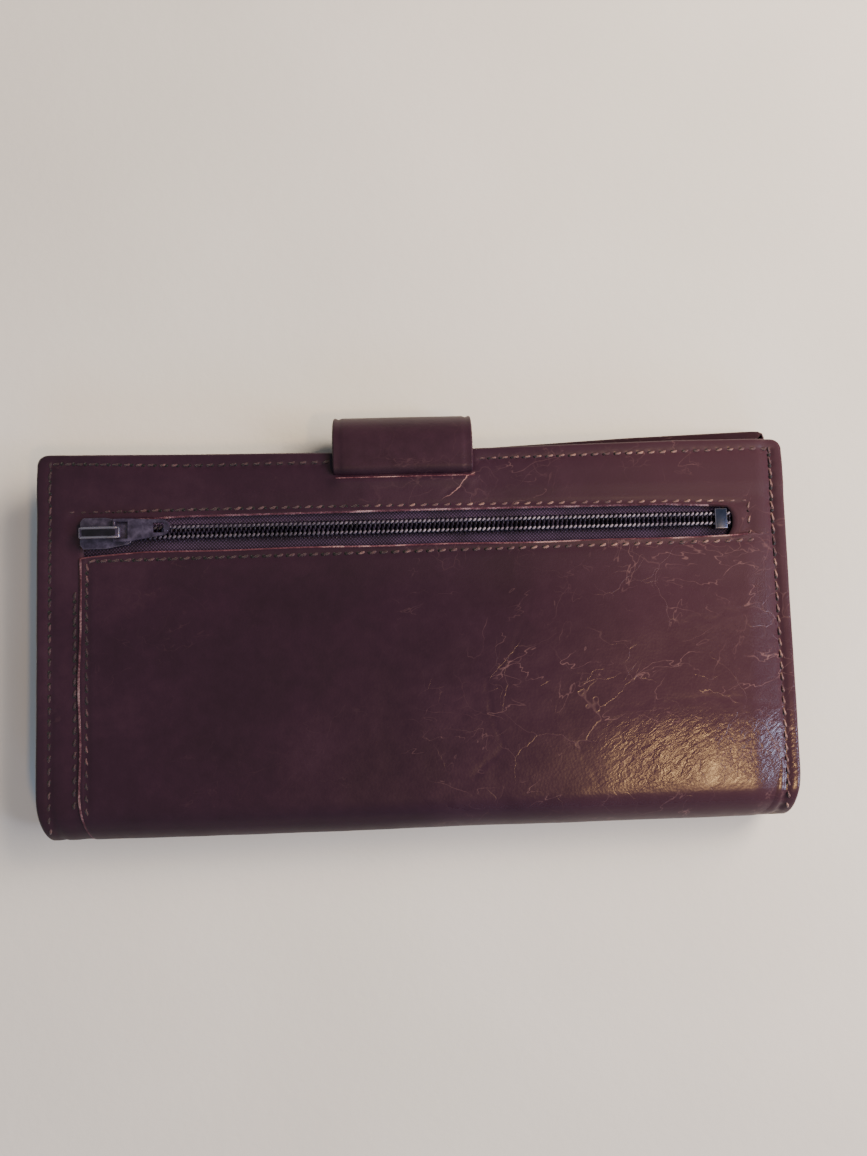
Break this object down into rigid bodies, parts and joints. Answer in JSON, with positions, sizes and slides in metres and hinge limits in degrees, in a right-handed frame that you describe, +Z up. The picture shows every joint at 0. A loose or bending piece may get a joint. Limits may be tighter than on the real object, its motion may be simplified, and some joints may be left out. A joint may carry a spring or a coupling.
{
  "type": "long wallet",
  "caption": "Long folding leather wallet with an outside zip pocket and a snap strap round its open edge; it opens flat to card slots, a clear window and note pockets.",
  "frame": {"origin": "middle of the closed wallet in plan, strap loop included, on the surface that it lies on", "axes": "+X along the wallet towards the zip's open end, +Y from the rolled spine towards the strap, +Z up out of the zipped back half"},
  "size_m": [0.195, 0.1076, 0.0188],
  "materials": {
    "cover_leather": "smooth glazed aubergine leather, lightly creased",
    "strap_leather": "smooth glazed aubergine leather",
    "pocket_leather": "thin smooth leather",
    "lining_cloth": "plain woven lining",
    "stiffener_board": "pressed board",
    "thread": "bonded sewing thread",
    "zip_tape": "woven zip tape",
    "zip_coil": "nylon coil",
    "zip_stop": "enamelled, rubbed bright at its edges",
    "zip_enamel": "indigo enamel, rubbed bright at its edges",
    "spring_steel": "spring steel",
    "snap_metal": "nickel-plated brass",
    "clear_film": "clear soft film"
  },
  "bodies": {
    "front": {"front_cover": "cover_leather", "front_stiffener": "stiffener_board", "front_lining": "lining_cloth", "front_edge_binding": "pocket_leather", "front_bill_pocket": "pocket_leather", "card_slot_left_1": "pocket_leather", "card_slot_left_2": "pocket_leather", "card_slot_left_3": "pocket_leather", "card_slot_left_4": "pocket_leather", "card_slot_right_1": "pocket_leather", "card_slot_right_2": "pocket_leather", "card_slot_right_3": "pocket_leather", "card_slot_right_4": "pocket_leather", "card_stitching": "thread", "front_stitching": "thread", "snap_stud": "snap_metal", "stud_rivet": "snap_metal"},
    "spine": {"spine_leather": "cover_leather", "spine_lining": "lining_cloth"},
    "back": {"back_cover": "cover_leather", "zip_pocket_panel": "cover_leather", "zip_tape_upper": "zip_tape", "zip_tape_lower": "zip_tape", "zip_coil_upper": "zip_coil", "zip_coil_lower": "zip_coil", "zip_bottom_stop": "zip_stop", "zip_pocket_lining_outer": "lining_cloth", "zip_pocket_lining_inner": "lining_cloth", "back_stiffener": "stiffener_board", "back_lining": "lining_cloth", "back_edge_binding": "pocket_leather", "back_bill_pocket": "pocket_leather", "id_window_frame": "pocket_leather", "id_window": "clear_film", "slip_pocket": "pocket_leather", "border_stitching": "thread", "zip_stitching": "thread", "panel_stitching": "thread", "strap_base": "strap_leather", "strap_base_lining": "lining_cloth"},
    "strap_loop": {"strap_loop_leather": "strap_leather", "strap_loop_lining": "lining_cloth"},
    "strap_end": {"strap_end_leather": "strap_leather", "strap_end_lining": "lining_cloth", "snap_socket": "snap_metal", "snap_cap": "snap_metal"},
    "zip_slider": {"slider_body": "zip_enamel", "slider_crown": "zip_enamel", "slider_lock_spring": "spring_steel"},
    "zip_puller": {"zip_puller": "zip_enamel"}
  },
  "joints": [
    {"name": "fold_front", "type": "hinge", "parent": "front", "child": "spine", "pos_m": [0, -0.05205, 0.00177], "axis": [1, 0, 0], "range_deg": [0, 90]},
    {"name": "fold_back", "type": "hinge", "parent": "spine", "child": "back", "pos_m": [0, -0.05205, 0.01473], "axis": [1, 0, 0], "range_deg": [0, 90]},
    {"name": "strap_open", "type": "hinge", "parent": "back", "child": "strap_loop", "pos_m": [-0.0026, 0.05192, 0.01585], "axis": [1, 0, 0], "range_deg": [0, 90]},
    {"name": "strap_unroll", "type": "hinge", "parent": "strap_loop", "child": "strap_end", "pos_m": [-0.0026, 0.05192, 0.00191], "axis": [1, 0, 0], "range_deg": [0, 90]},
    {"name": "zip_slide", "type": "slide", "parent": "back", "child": "zip_slider", "axis": [1, 0, 0], "range_m": [0, 0.152]},
    {"name": "puller_swing", "type": "hinge", "parent": "zip_slider", "child": "zip_puller", "pos_m": [-0.0772, 0.02382, 0.01752], "axis": [0, -1, 0], "range_deg": [0, 145]}
  ],
  "couplings": [
    {"joint": "fold_back", "follows": "fold_front", "ratio": 1},
    {"joint": "strap_unroll", "follows": "strap_open", "ratio": 1}
  ]
}
